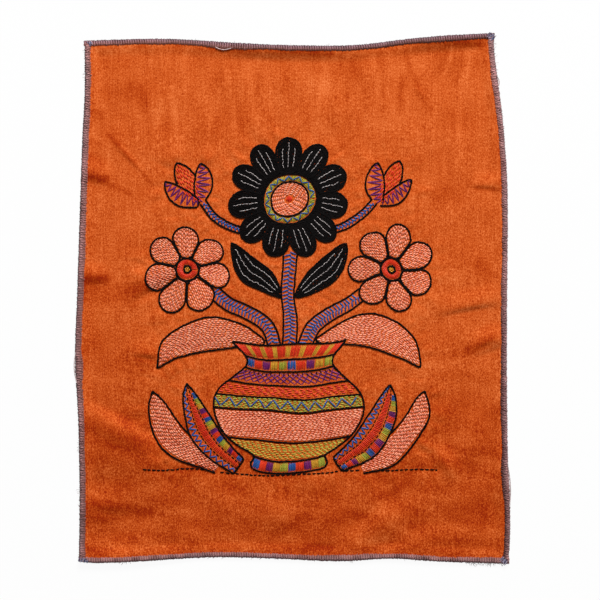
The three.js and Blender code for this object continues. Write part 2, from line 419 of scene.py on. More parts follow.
def sateen():
    """Burnt-orange sateen: a pebbly soft surface with faint warp streaks, uneven dye and painted shade."""
    material, bench, shader = new_finish("orange_sateen", {"Roughness": 0.7, "Specular IOR Level": 0.08})
    place = bench.add("ShaderNodeTexCoord", out="Object")
    tall_place = bench.add("ShaderNodeMapping", None, {"Vector": place, "Scale": (1, 0.6, 1)})
    long_place = bench.add("ShaderNodeMapping", None, {"Vector": place, "Scale": (1, 0.035, 1)})
    wide_place = bench.add("ShaderNodeMapping", None, {"Vector": place, "Scale": (0.12, 1, 1)})
    pebbles = bench.noise(tall_place, 0.0009, 2.0, 0.7)
    lumps = bench.noise(place, 0.0045, 2.0)
    clouds = bench.noise(place, 0.032, 2.0)
    warp = bench.noise(long_place, 0.0011, 1.0)
    weft = bench.noise(wide_place, 0.0009, 1.0)
    grit = 1.66 - place_part(bench, place, "Y") * 1.3
    depth = 0.5 + (pebbles - 0.5) * grit + (lumps - 0.5) * 0.2 + (clouds - 0.5) * 0.2
    # The mesh's painted light and shade of folds, creases and the top edge's shadow, with mottled tone.
    depth = depth + (warp - 0.5) * 0.35 + (weft - 0.5) * 0.25 + attribute(bench, "painted_light_and_mottle") * 0.36
    dyes = [
        linear(152, 34, 0), linear(181, 61, 2), linear(210, 89, 27), linear(237, 118, 56),
        linear(255, 146, 84),
    ]
    wire(bench, colour_ramp(bench, depth, dyes), shader, "Base Color")
    roughen(bench, shader, pebbles + warp * 0.4, 0.2, 0.00015)
    return material


cloth = cloth_sheet()
cloth.data.materials.append(sateen())
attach(cloth, "root")
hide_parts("cloth")

# ---- Overlocked edge ---------------------------------------------------------------------------------
# Three-thread overlock in mauve polyester binds the four cut edges. Its loops lie close together over,
# round and under the edge. The top and bottom runs were sewn last, over the ends of the side runs.

OVERLOCK_WIDTHS = {"bottom": 4.4, "right": 4.8, "top": 4.4, "left": 5.2}
OVERLOCK_PITCH = 0.68
OVERLOCK_HEIGHT = 2.0
OVERLOCK_INSET = 0.3
OVERLOCK_THREAD = 0.8
# How far the side runs reach in under the ends of the top and bottom runs.
RUN_OVERLAP = 0.4
GUIDE_PLACES = 300

# Where the loops reach farther in than elsewhere: x, y, length, and how much wider.
OVERLOCK_BULGES = [
    (-181, 42, 60, 0.16), (-184, -56, 30, 0.3), (-178, 130, 90, 0.08),
    (175, 182, 30, 0.16), (182, -152, 44, 0.3), (180, -96, 70, 0.12),
    (-52, 214, 46, 0.26), (132, 221, 50, 0.18), (44, -220, 60, 0.22), (166, -223, 30, 0.16),
]


def tree_with(name, inputs):
    """A new Geometry Nodes tree with these named inputs, its bench, and its inputs as values."""
    tree = bpy.data.node_groups.new(name, "GeometryNodeTree")
    for socket, kind in inputs.items():
        tree.interface.new_socket(name=socket, in_out="INPUT", socket_type=f"NodeSocket{kind}")
    tree.interface.new_socket(name="Thread", in_out="OUTPUT", socket_type="NodeSocketGeometry")
    entry = tree.nodes.new("NodeGroupInput")
    given = {socket: Value(tree, entry.outputs[socket]) for socket in inputs}
    return tree, Bench(tree), given


def stored(bench, geometry, name, value, domain="POINT"):
    """A geometry that carries this number under a name."""
    return bench.add("GeometryNodeStoreNamedAttribute", {"data_type": "FLOAT", "domain": domain},
                     {"Geometry": geometry, "Name": name, "Value": value})


def carried(bench, name):
    """The number that a geometry carries under a name."""
    return bench.add("GeometryNodeInputNamedAttribute", {"data_type": "FLOAT"}, {"Name": name})


def circle(bench, resolution, radius):
    """A circle of as many straight parts."""
    sockets = {"Resolution": resolution, "Radius": radius}
    return bench.add("GeometryNodeCurvePrimitiveCircle", None, sockets)


def hand_out(bench, thread, finish):
    """Ends a tree with its thread as plain, smooth mesh of this finish."""
    thread = bench.add("GeometryNodeRealizeInstances", None, {"Geometry": thread})
    thread = bench.add("GeometryNodeSetShadeSmooth", None, {"Geometry": thread})
    thread = bench.add("GeometryNodeSetMaterial", None, {"Geometry": thread, "Material": finish})
    bench.add("NodeGroupOutput", None, {"Thread": thread})


def grown(guide, tree, values):
    """Runs a tree on a guide object, which keeps the plain mesh that comes out."""
    modifier = guide.modifiers.new(tree.name, "NODES")
    modifier.node_group = tree
    for item in tree.interface.items_tree:
        if item.in_out == "INPUT" and item.name in values:
            modifier[item.identifier] = values[item.name]
    shown = guide.evaluated_get(bpy.context.evaluated_depsgraph_get())
    mesh = bpy.data.meshes.new_from_object(shown)
    mesh.name = guide.name
    guide.modifiers.remove(modifier)
    guide.data = mesh
    return guide


def overlock_tree():
    """Loops of thread, one at each pitch along a guide that follows the outer line of the edge."""
    inputs = {
        "Edge": "Geometry", "Pitch": "Float", "Width": "Float", "Height": "Float", "Thread": "Float",
        "Seed": "Int", "Finish": "Material",
    }
    tree, bench, given = tree_with("overlock_loops", inputs)
    edge = bench.add("GeometryNodeMeshToCurve", None, {"Mesh": given["Edge"]})
    edge = bench.add("GeometryNodeResampleCurve", {"mode": "LENGTH"},
                     {"Curve": edge, "Length": given["Pitch"]})
    loop = circle(bench, resolution=10, radius=1.0)
    spot = bench.add("GeometryNodeInputPosition")
    across = place_part(bench, spot, 0)
    up = place_part(bench, spot, 1)
    rounded = up.maths("SIGN", up) * (up.maths("ABSOLUTE", up) ** 0.55)
    inward = given["Width"] * (0.5 + across * 0.5)
    slant = given["Pitch"] * (across * rounded * 0.9)
    loop_place = bench.add("ShaderNodeCombineXYZ", None, {
        "X": slant, "Y": inward, "Z": given["Height"] * (0.55 + rounded * 0.38),
    })
    loop = bench.add("GeometryNodeSetPosition", None, {"Geometry": loop, "Position": loop_place})
    loop = stored(bench, loop, "turn", bench.add("GeometryNodeSplineParameter", out="Factor"))
    profile = circle(bench, resolution=5, radius=given["Thread"] * 0.5)
    loop = bench.add("GeometryNodeCurveToMesh", None, {"Curve": loop, "Profile Curve": profile})
    tangent = bench.add("GeometryNodeInputTangent")
    facing = bench.add("FunctionNodeAlignRotationToVector", {"axis": "X", "pivot_axis": "Z"},
                       {"Vector": tangent})
    number = bench.add("GeometryNodeInputIndex")
    # Which of every three loops this is: the finish paints every third loop light, as a painted highlight.
    step = number.maths("MODULO", number, 3.0) / 3.0
    chance = bench.add("FunctionNodeRandomValue", {"data_type": "FLOAT"},
                       {2: -0.5, 3: 0.5, "Seed": given["Seed"]}, out=1)
    lean = carried(bench, "lean") * (0.9 + chance * 0.2)
    lean = bench.add("ShaderNodeCombineXYZ", None, {"Z": lean})
    facing = bench.add("FunctionNodeRotateRotation", {"rotation_space": "LOCAL"},
                       {"Rotation": facing, "Rotate By": lean})
    size = bench.add("FunctionNodeRandomValue", {"data_type": "FLOAT_VECTOR"},
                     {0: (1, 0.95, 0.9), 1: (1, 1.05, 1.1), "Seed": given["Seed"]}, out=0)
    reach = bench.add("ShaderNodeCombineXYZ", None, {"X": 1.0, "Y": carried(bench, "reach"), "Z": 1.0})
    size = bench.add("ShaderNodeVectorMath", {"operation": "MULTIPLY"}, {0: size, 1: reach})
    loops = bench.add("GeometryNodeInstanceOnPoints", None,
                      {"Points": edge, "Instance": loop, "Rotation": facing, "Scale": size})
    stray = bench.add("ShaderNodeCombineXYZ", None, {"Y": chance * 0.0005})
    loops = bench.add("GeometryNodeTranslateInstances", None, {"Instances": loops, "Translation": stray})
    hand_out(bench, stored(bench, loops, "step", step + chance * 0.15, "INSTANCE"), given["Finish"])
    return tree


def overlock_finish(name, dark, light, painted_highlight_contrast, unevenness, outer_looper_and_painted_light, inner_cloth_and_painted_light, axis, painted_dimming):
    """Mauve thread with painted highlights on its loops, in slanted rows. Where it turns round the edge
    it takes a darker outer thread and painted light and shade, and where it ends inside it takes the
    cloth's orange and painted light and shade; both are set for each side.

    Painted dimming is how far its inner half is painted darker, as shade, at the low and at the high end
    of the axis it runs along.
    """
    material, bench, shader = new_finish(name, {"Roughness": 0.75, "Specular IOR Level": 0.2})
    place = bench.add("ShaderNodeTexCoord", out="Object")
    turn = attribute(bench, "turn")
    from_edge = (turn - 0.5).maths("ABSOLUTE", turn - 0.5)
    # Painted highlights: every third loop is painted light, in rows that slant across the band.
    step = attribute(bench, "step") + from_edge * 3.2
    slope = step.maths("FRACT", step) - 0.5
    stitch = slope.maths("ABSOLUTE", slope) * 2.0 - 0.5
    patch = bench.noise(place, 0.007, 1.0) - 0.5
    shade = stitch * painted_highlight_contrast + patch * unevenness + 0.5
    outer = (1.0 - from_edge * 6.0).held()
    inner = (from_edge * 2.0) ** 2.0
    stretch = (bench.noise(place, 0.03, 1.0) * 3.4 - 1.5).held()
    ply = bench.noise(place, 0.0005, 1.0)
    colour = bench.mixed((shade + (ply - 0.5) * 0.6).held(), dark, light)
    colour = bench.mixed(stretch * 0.3, colour, linear(112, 106, 112))
    # Where the thread ends inside: painted light and shade set for each side, blended with the cloth's
    # orange.
    colour = bench.mixed(inner * 0.8, colour, inner_cloth_and_painted_light)
    # Painted shade: the inner half darkens towards one end of the run.
    half_run = (WIDTH if axis == "X" else LENGTH) / 2000
    along = place_part(bench, place, axis) / half_run
    painted_dim = along * ((painted_dimming[1] - painted_dimming[0]) / 2) + (painted_dimming[0] + painted_dimming[1]) / 2
    colour = bench.mixed(painted_dim.held() * from_edge * 2.0, colour, linear(50, 26, 32))
    # The outer turn: the darker lower looper thread, with painted light and shade set for each side.
    colour = bench.mixed(outer * 0.85, colour, outer_looper_and_painted_light)
    wire(bench, colour, shader, "Base Color")
    roughen(bench, shader, ply, 0.6, 0.0001)
    return material


def overlock_guide(side, inset=OVERLOCK_INSET):
    """The outer line of a bound side, anticlockwise round the panel, at the height of its underside."""
    level_run = side in ("bottom", "top")
    end = 0.0 if level_run else (OVERLOCK_WIDTHS["top"] - RUN_OVERLAP) / LENGTH
    at = np.linspace(end, 1 - end, GUIDE_PLACES)
    depth_of_panel = LENGTH if level_run else WIDTH
    share = {
        "bottom": lambda depth: (at, np.full_like(at, depth)),
        "right": lambda depth: (np.full_like(at, 1 - depth), at),
        "top": lambda depth: (1 - at, np.full_like(at, 1 - depth)),
        "left": lambda depth: (np.full_like(at, depth), 1 - at),
    }[side]
    level = panel_point(*share(BOUND_ZONE / depth_of_panel))
    height = ridges(FOLDS, level[:, 0], level[:, 1])
    return np.column_stack([panel_point(*share(inset / depth_of_panel)), height])


def overlock_lean(side):
    """How far the loops lean along the edge, in radians. They stand upright at its two ends."""
    at = np.linspace(0, WIDTH if side in ("bottom", "top") else LENGTH, GUIDE_PLACES)
    return -0.3 * ramp(np.minimum(at, at[-1] - at), 1, 9)


def overlock_reach(guide):
    """How far in the loops reach, against their usual width, at each place of a guide."""
    reach = 1.06 + 0.05 * drift(guide[:, 0], guide[:, 1], 30, 17)
    for x, y, length, extra in OVERLOCK_BULGES:
        away = np.hypot(guide[:, 0] - x, guide[:, 1] - y) / length
        reach += extra * np.clip(1 - (2 * away) ** 2, 0, 1)
    return reach


overlock_loops = overlock_tree()
# One thread, but each side has its own copy of the finish with painted light and shade: lighter on the
# right, darker with stronger painted highlights on the top.
mauve = linear(60, 30, 32), linear(230, 170, 168)
right_mauve_painted_lighter = linear(76, 40, 42), linear(255, 192, 190)
top_mauve_painted_darker = linear(4, 0, 2), linear(180, 134, 144)
overlock_finishes = {
    "bottom": overlock_finish(
        "bottom_thread_painted_shading", *mauve, 0.65, 1.0, linear(156, 122, 122), linear(100, 42, 26), "X", (0, 0)),
    "right": overlock_finish(
        "right_thread_painted_shading", *right_mauve_painted_lighter, 0.7, 1.0, linear(140, 112, 112), linear(170, 90, 70), "Y", (1.45, 0)),
    "top": overlock_finish(
        "top_thread_painted_shading", *top_mauve_painted_darker, 1.8, 1.4, linear(66, 48, 50), linear(228, 146, 122), "X", (0, 0.8)),
    "left": overlock_finish(
        "left_thread_painted_shading", *mauve, 0.85, 0.7, linear(68, 46, 46), linear(176, 104, 86), "Y", (0.45, 0)),
}
for seed, side in enumerate(OVERLOCK_WIDTHS):
    guide = overlock_guide(side)
    links = [(k, k + 1) for k in range(GUIDE_PLACES - 1)]
    numbers = {"reach": overlock_reach(guide), "lean": overlock_lean(side)}
    line = mesh_object(f"overlock_thread_{side}", guide, links, numbers=numbers)
    run = grown(line, overlock_loops, {
        "Pitch": OVERLOCK_PITCH / 1000,
        "Width": (OVERLOCK_WIDTHS[side] - OVERLOCK_INSET) / 1000,
        "Height": OVERLOCK_HEIGHT / 1000,
        "Thread": OVERLOCK_THREAD / 1000,
        "Seed": seed,
        "Finish": overlock_finishes[side],
    })
    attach(run, "root")
    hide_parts(f"overlock_{side}")

# ---- Loose threads -----------------------------------------------------------------------------------
# Where the machine ran off each corner it left short tails of blue, slate and lilac thread. A few slack
# loops hang along the edges, and fine cut threads stick out of them.

CORNER_TAILS = [
    # x, y, direction in degrees, length, how far they spread, number of tails
    (-169.8, 214, -62, 3.8, 2.6, 7),
    (166.4, 220, 48, 5.4, 6, 13),
    (-175.6, -219.6, 76, 3.6, 7, 13),
    (177.6, -220, 58, 4.6, 5.6, 12),
]

SLACK_LOOPS = [
    # side, from and to as shares of it anticlockwise, how far outside it starts, how far it swings out
    ("top", 0.64, 0.68, -4.6, -1.8),
    ("left", 0.6, 0.66, -0.7, 1.5),
    ("right", 0.905, 0.927, -0.7, 1.7),
    ("right", 0.1, 0.185, -0.7, 1.5),
]

FRAYS = [
    # side, from and to as shares of it anticlockwise, how many, length
    ("left", 0.0, 0.07, 12, 2.2),
    ("left", 0.775, 0.79, 6, 3.0),
    ("left", 0.87, 0.91, 8, 2.4),
    ("right", 0.94, 1.0, 12, 2.2),
    ("right", 0.815, 0.86, 20, 1.0),
    ("bottom", 0.9, 0.985, 56, 2.8),
    ("bottom", 0.09, 0.15, 8, 2.4),
    ("bottom", 0.2, 0.85, 26, 1.8),
    ("top", 0.3, 0.9, 14, 1.6),
]


def curve_through(points, closed=False, step=0.5):
    """Places a step apart on a smooth curve through these points."""
    points = np.array(points, float)
    first = points[-1] if closed else 2 * points[0] - points[1]
    last = [points[0], points[1]] if closed else [2 * points[-1] - points[-2]]
    knots = np.vstack([first, points, *last])
    t = np.linspace(0, 1, 20, endpoint=False)[:, None]
    pieces = []
    for a, b, c, d in zip(knots, knots[1:], knots[2:], knots[3:]):
        squared = (2 * a - 5 * b + 4 * c - d) * t**2
        cubed = (3 * b - a - 3 * c + d) * t**3
        pieces.append(b + ((c - a) * t + squared + cubed) / 2)
    path = np.vstack([*pieces, knots[-2]])
    return at_far(path, np.arange(0, distances(path)[-1], step))


def distances(path):
    """How far along a path each of its places lies."""
    return np.concatenate([[0], np.cumsum(np.linalg.norm(np.diff(path, axis=0), axis=1))])


def at_far(path, far):
    """The places at these distances along a path."""
    marks = distances(path)
    return np.column_stack([np.interp(far, marks, path[:, 0]), np.interp(far, marks, path[:, 1])])


def heading(turn):
    """The direction at this angle in degrees, anticlockwise from the right."""
    angle = math.radians(turn)
    return np.array([math.cos(angle), math.sin(angle)])


def outward(line):
    """The direction to the right of a line, at each place of it."""
    ahead = np.gradient(line, axis=0)
    return np.column_stack([ahead[:, 1], -ahead[:, 0]]) / np.linalg.norm(ahead, axis=1)[:, None]


def loose_thread_tree():
    """Round thread of one thickness along guides."""
    inputs = {"Guides": "Geometry", "Thickness": "Float", "Finish": "Material"}
    tree, bench, given = tree_with("loose_threads", inputs)
    line = bench.add("GeometryNodeMeshToCurve", None, {"Mesh": given["Guides"]})
    strand = circle(bench, resolution=5, radius=given["Thickness"] * 0.5)
    thread = bench.add("GeometryNodeCurveToMesh", None,
                       {"Curve": line, "Profile Curve": strand, "Fill Caps": True})
    hand_out(bench, thread, given["Finish"])
    return tree


def loose_finish(name, dark, light):
    """Soft spun thread, uneven in tone."""
    material, bench, shader = new_finish(name, {"Roughness": 0.8, "Specular IOR Level": 0.2})
    place = bench.add("ShaderNodeTexCoord", out="Object")
    tone = ((bench.noise(place, 0.0012, 2.0) - 0.5) * 2.5 + 0.5).held()
    wire(bench, bench.mixed(tone, dark, light), shader, "Base Color")
    return material


def edge_top(path):
    """The height of the top of the overlock at these places."""
    return ridges(FOLDS, path[:, 0], path[:, 1]) + OVERLOCK_HEIGHT


def tails_at(x, y, turn, length, spread, count, dice):
    """Tails that lie side by side, as paths in three dimensions."""
    along, across = heading(turn), heading(turn + 90)
    far = np.linspace(-0.5, 0.5, 8)[:, None]
    paths = []
    for offset in np.linspace(-spread / 2, spread / 2, count):
        reach = length * dice.uniform(0.7, 1.1)
        middle = across * (offset + dice.uniform(-0.2, 0.2)) + along * dice.uniform(-0.6, 0.6)
        bend = dice.uniform(-0.5, 0.5) * (4 * far**2 - 0.5) + dice.uniform(-0.7, 0.7) * far
        path = (x, y) + middle + along * far * reach + across * bend
        paths.append(np.column_stack([path, edge_top(path) + dice.uniform(0, 0.4)]))
    return paths


def frays_on(side, start, stop, count, length, dice):
    """Fine cut ends that stick out of a stretch of an edge, as paths in three dimensions."""
    guide = overlock_guide(side, 1.0)
    line = guide[:, :2]
    out = outward(line)
    paths = []
    for _ in range(count):
        number = int(dice.uniform(start, stop) * (len(line) - 1))
        angle = math.radians(dice.uniform(-55, 55))
        turned = np.array([out[number] @ (math.cos(angle), math.sin(angle)),
                           out[number] @ (-math.sin(angle), math.cos(angle))])
        far = np.linspace(0, 1, 6)[:, None]
        curl = dice.uniform(-0.6, 0.6) * far**2 * np.array([-turned[1], turned[0]])
        path = line[number] + (1 + length * dice.uniform(0.3, 1.1)) * (far * turned + curl)
        paths.append(np.column_stack([path, (guide[number, 2] + 1) * (1 - 0.5 * far)]))
    return paths


def slack_loop(side, start, stop, rest, swing):
    """A loop of thread that hangs along a stretch of an edge, as a path in three dimensions."""
    guide = overlock_guide(side, 0.0)
    far = np.linspace(0, 1, 9)
    at = np.linspace(start, stop, len(far)) * (len(guide) - 1)
    number = at.astype(int)
    line = guide[number, :2] + (at - number)[:, None] * (guide[number + 1, :2] - guide[number, :2])
    away = rest + swing * np.sin(np.pi * far)
    path = curve_through(line + outward(line) * away[:, None])
    drop = 0.35 if swing > 0 else 0.0
    fall = drop * np.sin(np.linspace(0, np.pi, len(path)))
    return np.column_stack([path, edge_top(path) * (1 - fall)])


def lay_threads(name, paths, thickness, finish):
    """Lays loose threads along these paths, as one piece."""
    places = np.vstack(paths)
    starts = np.cumsum([0] + [len(path) for path in paths])
    links = [(k, k + 1) for a, b in zip(starts, starts[1:]) for k in range(a, b - 1)]
    values = {"Thickness": thickness / 1000, "Finish": finish}
    piece = grown(mesh_object(name, places, links), loose_threads, values)
    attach(piece, "root")


loose_threads = loose_thread_tree()
dice = np.random.default_rng(51)
tails = [path for row in CORNER_TAILS for path in tails_at(*row, dice)]
blue_tail = loose_finish("blue_tail", linear(82, 98, 128), linear(146, 164, 200))
slate_tail = loose_finish("slate_tail", linear(52, 38, 58), linear(104, 84, 112))
lilac_tail = loose_finish("lilac_tail", linear(150, 138, 160), linear(226, 216, 232))
lay_threads("blue_tails", tails[0::4], 0.5, blue_tail)
lay_threads("slate_tails", tails[1::2], 0.5, slate_tail)
lay_threads("lilac_tails", tails[2::4], 0.5, lilac_tail)
pale_thread = loose_finish("pale_thread", linear(150, 132, 130), linear(232, 206, 204))
lay_threads("slack_loops", [slack_loop(*row) for row in SLACK_LOOPS], 0.8, pale_thread)
frays = [path for row in FRAYS for path in frays_on(*row, dice)]
dark_fray = loose_finish("dark_fray", linear(84, 66, 66), linear(140, 120, 120))
lay_threads("dark_frays", frays[0::2], 0.24, dark_fray)
lay_threads("pale_frays", frays[1::2], 0.24, pale_thread)

# ---- Needlework: thread, stitches and drawing --------------------------------------------------------
# Stranded cotton, worked by hand through the cloth over a drawn pattern. Each stitch comes up at one
# end, lies plump and slightly raised over the cloth, and goes down at the other.


def thread_along(bench, lines, width, crown, plumpness, sides, steps):
    """Thread along each line of a guide, flattened, and thinner where it goes through the cloth."""
    line = bench.add("GeometryNodeMeshToCurve", None, {"Mesh": lines})
    line = bench.add("GeometryNodeResampleCurve", {"mode": "COUNT"}, {"Curve": line, "Count": steps})
    line = stored(bench, line, "along", bench.add("GeometryNodeSplineParameter", out="Length"))
    share = bench.add("GeometryNodeSplineParameter", out="Factor")
    swell = 1.0 - (share * 2.0 - 1.0) ** 4.0
    lift = bench.add("ShaderNodeCombineXYZ", None, {"Z": swell * crown})
    line = bench.add("GeometryNodeSetPosition", None, {"Geometry": line, "Offset": lift})
    line = bench.add("GeometryNodeSetCurveNormal", {"mode": "Z_UP"}, {"Curve": line})
    strand = circle(bench, sides, width * 0.5)
    strand = stored(bench, strand, "around", bench.add("GeometryNodeSplineParameter", out="Factor"))
    flatten = bench.add("ShaderNodeCombineXYZ", None, {"X": 1.0, "Y": plumpness, "Z": 1.0})
    strand = bench.add("GeometryNodeTransform", None, {"Geometry": strand, "Scale": flatten})
    return bench.add("GeometryNodeCurveToMesh", None, {
        "Curve": line, "Profile Curve": strand, "Scale": 0.5 + swell * 0.5, "Fill Caps": True,
    })


def hand_stitch_tree():
    """Plump stitches on the face of the cloth, and flat ones on its back where "back" is 1."""
    inputs = {
        "Guides": "Geometry", "Width": "Float", "Crown": "Float", "Plumpness": "Float",
        "Finish": "Material",
    }
    tree, bench, given = tree_with("hand_stitches", inputs)
    behind = bench.add("GeometryNodeSeparateGeometry", {"domain": "POINT"},
                       {"Geometry": given["Guides"], "Selection": carried(bench, "back")}, out="Selection")
    face = Value(tree, behind.socket.node.outputs["Inverted"])
    face = thread_along(bench, face, given["Width"], given["Crown"], given["Plumpness"], sides=5, steps=5)
    behind = thread_along(bench, behind, given["Width"], crown=0.0, plumpness=0.25, sides=4, steps=2)
    stitches = bench.add("GeometryNodeJoinGeometry")
    for part in (behind, face):
        tree.links.new(part.socket, stitches.socket.node.inputs["Geometry"])
    hand_out(bench, stitches, given["Finish"])
    return tree


def floss(name, dark, light, roughness=0.5, gloss=0.3):
    """Stranded cotton: soft gloss, a slight twist with painted shade in its grooves, and stitches that
    differ a little in tone.
    """
    values = {"Roughness": roughness, "Specular IOR Level": gloss}
    material, bench, shader = new_finish(name, values)
    shade = attribute(bench, "shade")
    # The twist of the plies: small bumps, with painted shade in the grooves between them.
    twist = attribute(bench, "along") * 5200.0 + attribute(bench, "around") * (4 * math.pi)
    ply_relief_and_shade = twist.maths("SINE", twist)
    tone = (0.55 + (shade - 0.5) * 0.7 + ply_relief_and_shade * 0.22).held()
    wire(bench, bench.mixed(tone, dark, light), shader, "Base Color")
    roughen(bench, shader, ply_relief_and_shade, 0.5, 0.0001)
    return material


class Shape:
    """A leaf, petal or band: a line along its middle, and its half width at shares of that line."""

    def __init__(self, points, halves):
        self.line = curve_through(points)
        self.marks = distances(self.line)
        self.length = self.marks[-1]
        self.side = -outward(self.line)
        self.profile = curve_through(halves, step=0.01)

    def half(self, far):
        """Half its width at this distance along it."""
        return np.interp(far / self.length, self.profile[:, 0], self.profile[:, 1])

    def place(self, far, across):
        """The place at this distance along it and this far to the left of its middle."""
        along = [np.interp(far, self.marks, self.line[:, axis]) for axis in (0, 1)]
        aside = [np.interp(far, self.marks, self.side[:, axis]) * across for axis in (0, 1)]
        return np.column_stack(along) + np.column_stack(aside)

    def sides(self):
        """Its two long edges."""
        far = np.arange(0, self.length, 0.5)
        return self.place(far, self.half(far)), self.place(far, -self.half(far))

    def border(self):
        """The closed line round it."""
        left, right = self.sides()
        return np.vstack([left, right[::-1], left[:1]])


class Strip:
    """The part of a shape between two shares of its half width, from -1 to 1."""

    def __init__(self, shape, low, high):
        self.shape = shape
        self.low = low
        self.high = high
        self.length = shape.length

    def half(self, far):
        return self.shape.half(far) * (self.high - self.low) / 2

    def place(self, far, across):
        return self.shape.place(far, self.shape.half(far) * (self.high + self.low) / 2 + across)


def running(path, length, gap, start=0.0):
    """Stitches of one length along a path, with gaps between them."""
    total = distances(path)[-1]
    up = np.arange(start % (length + gap) - length - gap, total, length + gap)
    down = np.clip(up + length, 0, total)
    up = np.clip(up, 0, total)
    long_enough = down - up > 0.3 * length
    return np.hstack([at_far(path, up[long_enough]), at_far(path, down[long_enough])])


def stem_stitches(path):
    """Overlapping slanted stitches that make a thick rope of a line."""
    length, pace, lean = 4.4, 2.4, 0.2
    total = distances(path)[-1]
    up = np.arange(-0.4 * length, total - 0.3 * pace, pace)
    begin = at_far(path, np.clip(up, 0, total))
    end = at_far(path, np.clip(up + length, 0, total))
    ahead = end - begin
    ahead /= np.maximum(np.linalg.norm(ahead, axis=1), 1e-6)[:, None]
    side = np.column_stack([-ahead[:, 1], ahead[:, 0]]) * lean
    return np.hstack([begin + side, end - side])


def stretches(kept):
    """The start and stop of each unbroken stretch of true values that is more than three long."""
    steps = np.diff(np.concatenate([[0], kept.astype(int), [0]]))
    bounds = zip(np.flatnonzero(steps == 1), np.flatnonzero(steps == -1))
    return [(start, stop) for start, stop in bounds if stop - start > 3]


def rows_in(shape, spacing, margin):
    """Lines along a shape, a spacing apart, each as far as the shape is wide enough for it."""
    far = np.arange(margin * 0.6, shape.length - margin * 0.6, 0.5)
    room = shape.half(far) - margin
    count = int(room.max() / spacing)
    return [shape.place(far[start:stop], offset)
            for offset in np.arange(-count, count + 1) * spacing
            for start, stop in stretches(room >= abs(offset))]


def bricked(rows, length, gap, start=0.0):
    """Running stitches on rows, each row half a stitch on from the last."""
    steps = [(length + gap) * (start + 0.5 * (n % 2) + 0.13 * math.sin(n * 2.3)) for n in range(len(rows))]
    return np.vstack([running(row, length, gap, step) for row, step in zip(rows, steps)])


def zigzag(shape, pitch, margin):
    """Stitches from one edge of a shape to the other and back."""
    far = np.arange(0, shape.length + 0.01, pitch / 2)
    sign = np.where(np.arange(len(far)) % 2 == 0, 1, -1)
    corner = shape.place(far, sign * np.maximum(shape.half(far) - margin, 0))
    return np.hstack([corner[:-1], corner[1:]])


def lattice(shape, pitch, margin, reach):
    """Two families of slanted stitches that cross in a band."""
    far = np.arange(-reach, shape.length, pitch)
    parts = []
    for sign in (1, -1):
        start = np.clip(far, 0, shape.length)
        stop = np.clip(far + reach, 0, shape.length)
        room = shape.half(far) - margin
        low = -room + 2 * room * (start - far) / reach
        high = -room + 2 * room * (stop - far) / reach
        stitch = np.hstack([shape.place(start, sign * low), shape.place(stop, sign * high)])
        parts.append(stitch[stop - start > 1.5])
    return np.vstack(parts)


def satin(shape, start, stop, spacing, margin, slant=0.0):
    """Stitches side by side across a shape, from one distance along it to another."""
    far = np.arange(start, stop, spacing)
    room = np.maximum(shape.half(far) - margin, 0)
    stitch = np.hstack([shape.place(far - slant, -room), shape.place(far + slant, room)])
    return stitch[room > 0.6]


def feather(shape, pitch, margin):
    """Slanted arms from each edge in turn to the middle of a band, as in feather stitch."""
    far = np.arange(pitch * 0.3, shape.length - pitch * 0.9, pitch / 2)
    sign = np.where(np.arange(len(far)) % 2 == 0, 1, -1)
    outer = shape.place(far, sign * (shape.half(far) - margin))
    inner = shape.place(far + pitch * 0.62, -sign * 0.4)
    nearer = shape.place(far + pitch * 0.12, sign * 0.5)
    return np.vstack([np.hstack([outer, inner]), np.hstack([nearer, inner])[::2]])


covered = []


def cover(border):
    """Marks the inside of a border as worked, so that later stitches stop at it."""
    covered.append(border)


def under_work(places):
    """Which of these places lie inside a border that is already worked."""
    x, y = places[:, :1], places[:, 1:]
    hidden = np.zeros(len(places), bool)
    for border in covered:
        x1, y1 = border[:-1].T
        x2, y2 = border[1:].T
        rise = np.where(y1 == y2, 1, y2 - y1)
        crossing = ((y1 > y) != (y2 > y)) & (x < (x2 - x1) * (y - y1) / rise + x1)
        hidden |= crossing.sum(1) % 2 == 1
    return hidden


def in_view(paths):
    """The parts of these lines that no work covers yet."""
    return [path[start:stop] for path in paths for start, stop in stretches(~under_work(path))]


def by_hand(places):
    """Where the hand puts a place of the drawing: never quite on it."""
    x, y = places.T
    shift_x = 1.1 * drift(x, y, 60, 21) + 0.22 * drift(x, y, 7, 22)
    shift_y = 1.1 * drift(x, y, 60, 23) + 0.22 * drift(x, y, 7, 24)
    return places + np.column_stack([shift_x, shift_y])


FLOSS_DYES = {
    # slot: dark and light dye, roughness, gloss
    "black_floss": (linear(3, 2, 2), linear(15, 11, 11), 0.8, 0.08),
    "salmon_floss": (linear(208, 90, 60), linear(255, 168, 134), 0.5),
    "grey_floss": (linear(152, 142, 142), linear(204, 194, 190), 0.55),
    "blue_floss": (linear(14, 56, 118), linear(46, 96, 168), 0.45),
    "lime_floss": (linear(126, 127, 26), linear(184, 180, 62), 0.45),
    "red_floss": (linear(196, 26, 8), linear(236, 62, 22), 0.45),
    "purple_floss": (linear(74, 10, 70), linear(124, 32, 108), 0.45),
    "ochre_floss": (linear(178, 118, 22), linear(216, 160, 44), 0.45),
}

flosses = {slot: floss(slot, *dyes) for slot, dyes in FLOSS_DYES.items()}
hand_stitches = hand_stitch_tree()
stitched = []

# How deep the ends of a stitch sink into the cloth's face, and how far its back stands off the back.
FACE_SINK = 0.12
BACK_STANDS_OFF = 0.02
SHORTEST_BACK = 0.3
LONGEST_BACK = 12


def halfway(ends):
    """The two ends of each stitch, with its middle between them."""
    begin, end = ends[0::2], ends[1::2]
    return np.stack([begin, (begin + end) / 2, end], axis=1).reshape(-1, 2)


